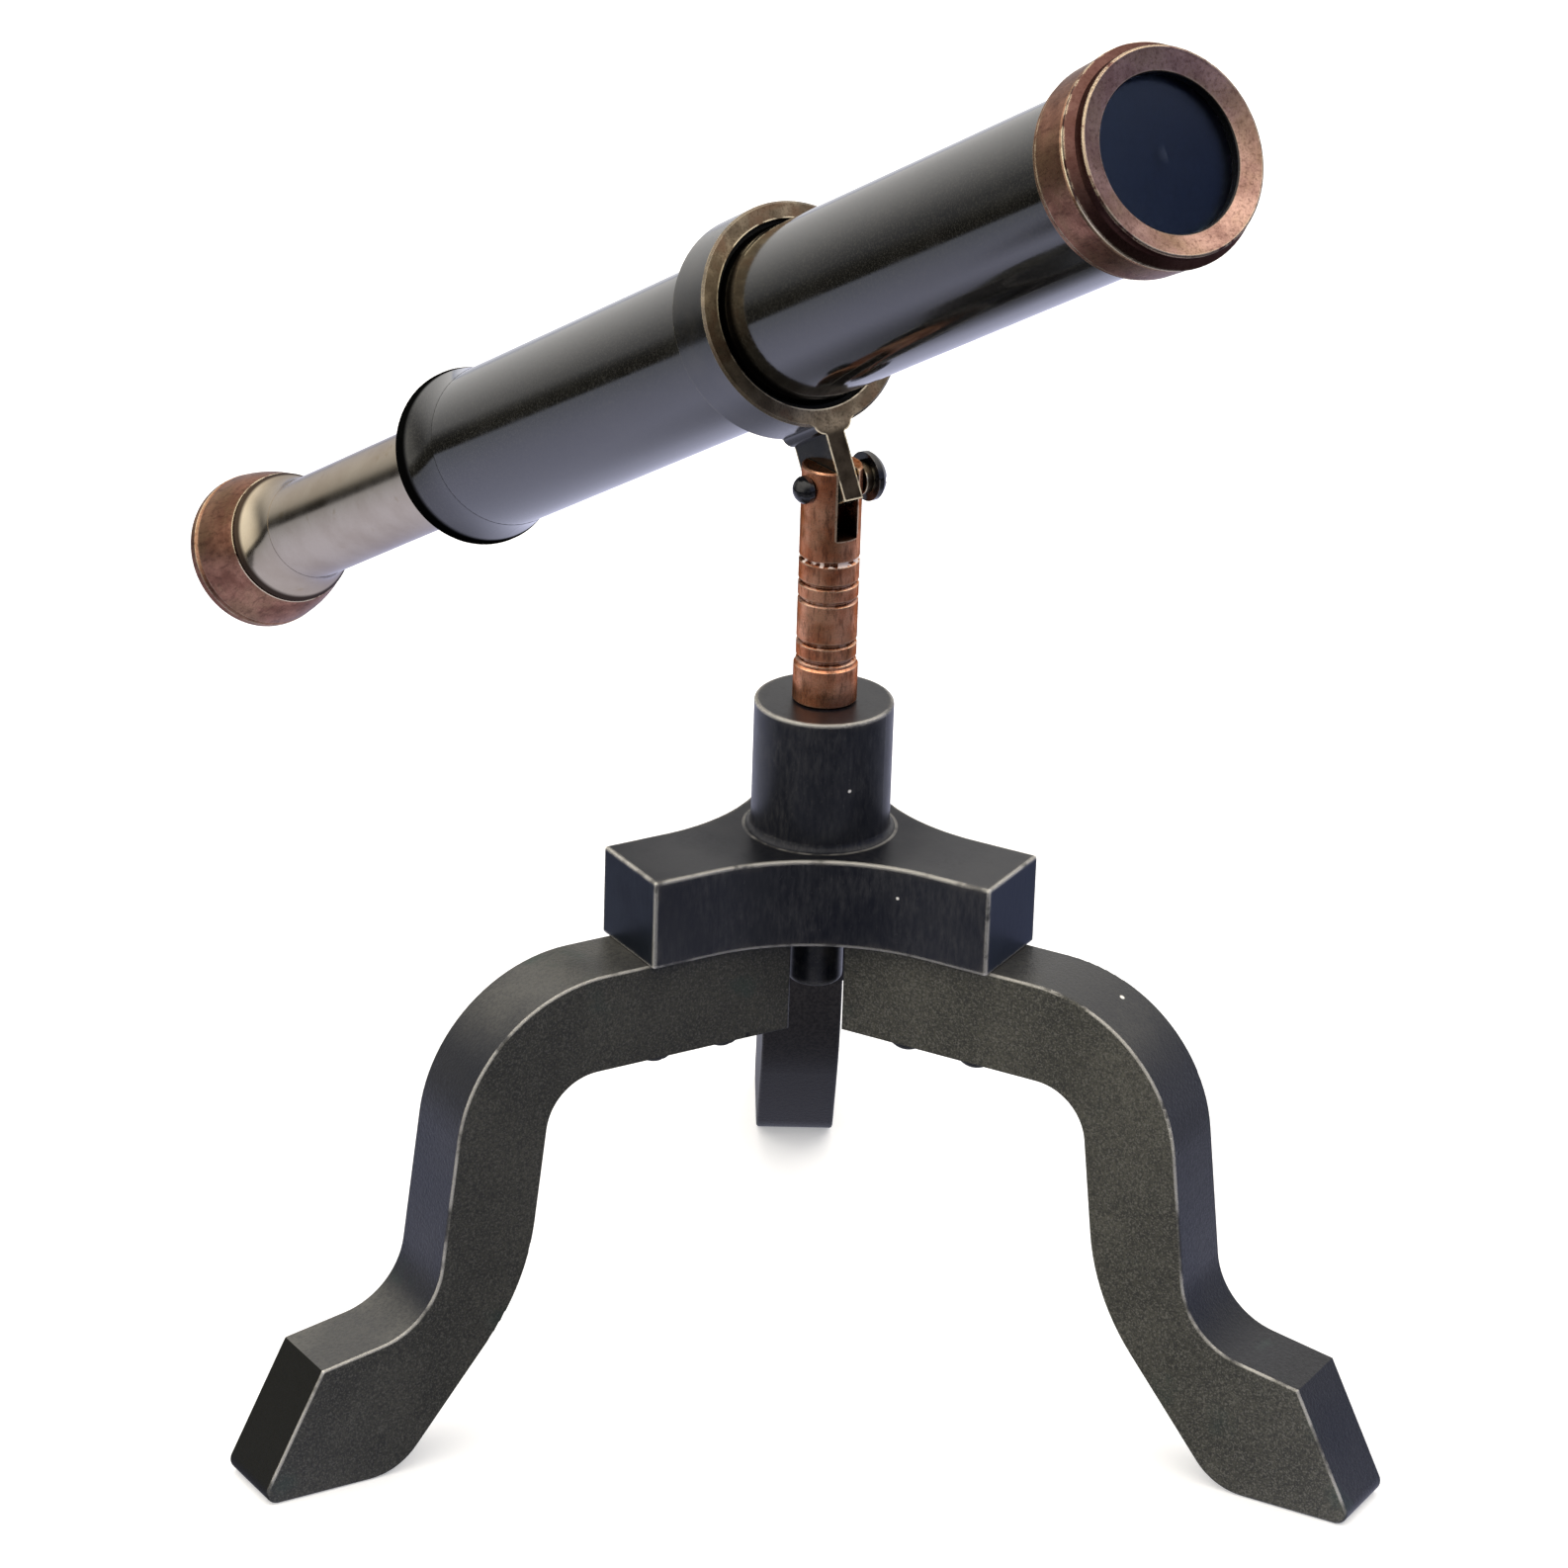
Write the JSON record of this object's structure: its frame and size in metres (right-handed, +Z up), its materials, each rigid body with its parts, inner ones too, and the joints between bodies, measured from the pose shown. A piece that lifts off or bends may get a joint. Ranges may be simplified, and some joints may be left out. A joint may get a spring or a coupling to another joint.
{
  "type": "desk telescope",
  "caption": "Small draw telescope in a ring on a swivelling, tilting forked post, standing on a hub with three curved bracket legs.",
  "frame": {"origin": "on the ground under the middle of the whole object's box, at rest; the post's axis stands at x 39.8 mm, y 18.5 mm", "axes": "+Z up along the post; the telescope's objective points to +X, tilted up; the tilt pivot lies along +Y"},
  "size_m": [0.2586, 0.156, 0.2297],
  "materials": {
    "blackened_cast": "blackened cast brass, satin, edges worn bright",
    "blackened_turned": "blackened brass, semi-gloss, edges worn bright",
    "blackened_tube": "blackened tube, semi-gloss",
    "aged_copper": "copper-toned antique brass, mottled satin",
    "aged_brass": "antique brass, satin, dark in the hollows",
    "pale_brass": "pale antique brass, satin",
    "inner_brass": "turned brass",
    "black_steel": "blackened steel, glossy",
    "black_liner": "matt black lining",
    "black_liner_metal": "matt black",
    "lens_glass": "polished optical glass"
  },
  "bodies": {
    "stand": {"hub": "blackened_turned", "leg_1": "blackened_cast", "leg_1_screw_inner": "black_steel", "leg_1_screw_outer": "black_steel", "leg_2": "blackened_cast", "leg_2_screw_inner": "black_steel", "leg_2_screw_outer": "black_steel", "leg_3": "blackened_cast", "leg_3_screw_inner": "black_steel", "leg_3_screw_outer": "black_steel"},
    "post": {"post": "aged_copper", "swivel_washer": "aged_brass", "swivel_nut": "blackened_turned", "pivot_screw": "black_steel", "pivot_washer": "aged_brass", "pivot_nut": "black_steel"},
    "telescope": {"mount_ring": "aged_brass", "ring_liner": "black_liner", "rear_barrel": "blackened_tube", "front_barrel": "blackened_tube", "barrel_coupling": "inner_brass", "light_stop": "black_liner_metal", "rear_collar": "blackened_tube", "objective_cell": "aged_copper", "objective_lens": "lens_glass", "objective_bezel": "aged_copper"},
    "draw": {"draw_tube": "pale_brass", "draw_stop_ring": "inner_brass", "draw_ferrule": "pale_brass", "eyepiece_cup": "aged_copper", "eye_lens": "lens_glass", "eye_lens_ring": "inner_brass", "field_lens": "lens_glass", "field_lens_cell": "inner_brass", "erector_tube": "inner_brass", "erector_lens_rear": "lens_glass", "erector_lens_front": "lens_glass", "erector_stop": "black_liner_metal"}
  },
  "joints": [
    {"name": "post_swivel", "type": "hinge", "parent": "stand", "child": "post", "pos_m": [0.0398, 0.0185, 0.1], "axis": [0, 0, 1], "continuous": true},
    {"name": "tilt", "type": "hinge", "parent": "post", "child": "telescope", "pos_m": [0.0398, 0.0185, 0.144], "axis": [0, -1, 0], "range_deg": [-70, 22]},
    {"name": "draw_slide", "type": "slide", "parent": "telescope", "child": "draw", "axis": [0.8634, 0, 0.5045], "range_m": [0, 0.052]}
  ]
}
